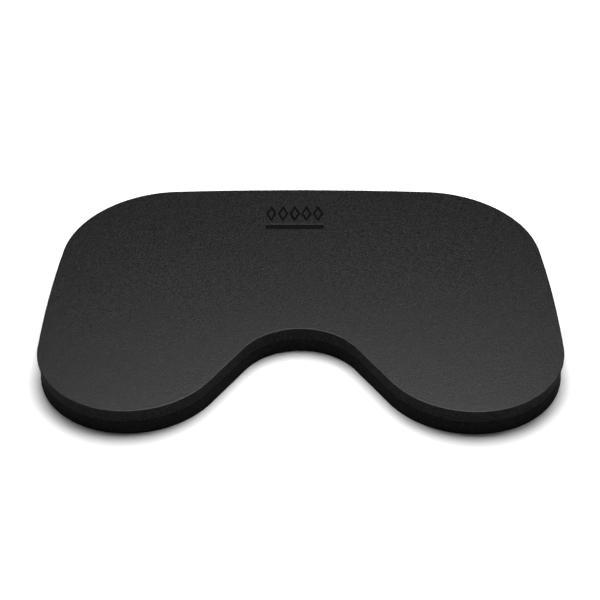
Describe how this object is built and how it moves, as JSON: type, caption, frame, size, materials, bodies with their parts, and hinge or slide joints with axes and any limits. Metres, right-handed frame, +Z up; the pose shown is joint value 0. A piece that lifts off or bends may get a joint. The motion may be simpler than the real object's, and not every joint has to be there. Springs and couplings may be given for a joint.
{
  "type": "kneeboard",
  "caption": "Flat kneeling board of two bonded foam layers with a front notch between two rounded lobes and hook tape recessed underneath.",
  "frame": {"origin": "middle of the board's outline box, on the flat underside", "axes": "+X across the board to its right, +Y from the notch to the straight back edge, +Z up out of the kneeling face"},
  "size_m": [0.44, 0.306, 0.025],
  "materials": {
    "pad_foam": "matte closed-cell foam with a fine grain",
    "board_foam": "matte dense closed-cell foam",
    "adhesive": "satin",
    "hook_tape": "woven nylon with small hooks"
  },
  "bodies": {
    "root": {"knee_pad": "pad_foam", "bond_film": "adhesive", "base_board": "board_foam", "hook_tape_front_left": "hook_tape", "hook_tape_front_right": "hook_tape", "hook_tape_rear_left": "hook_tape", "hook_tape_rear_right": "hook_tape", "tape_adhesive_front_left": "adhesive", "tape_adhesive_front_right": "adhesive", "tape_adhesive_rear_left": "adhesive", "tape_adhesive_rear_right": "adhesive"}
  },
  "joints": []
}
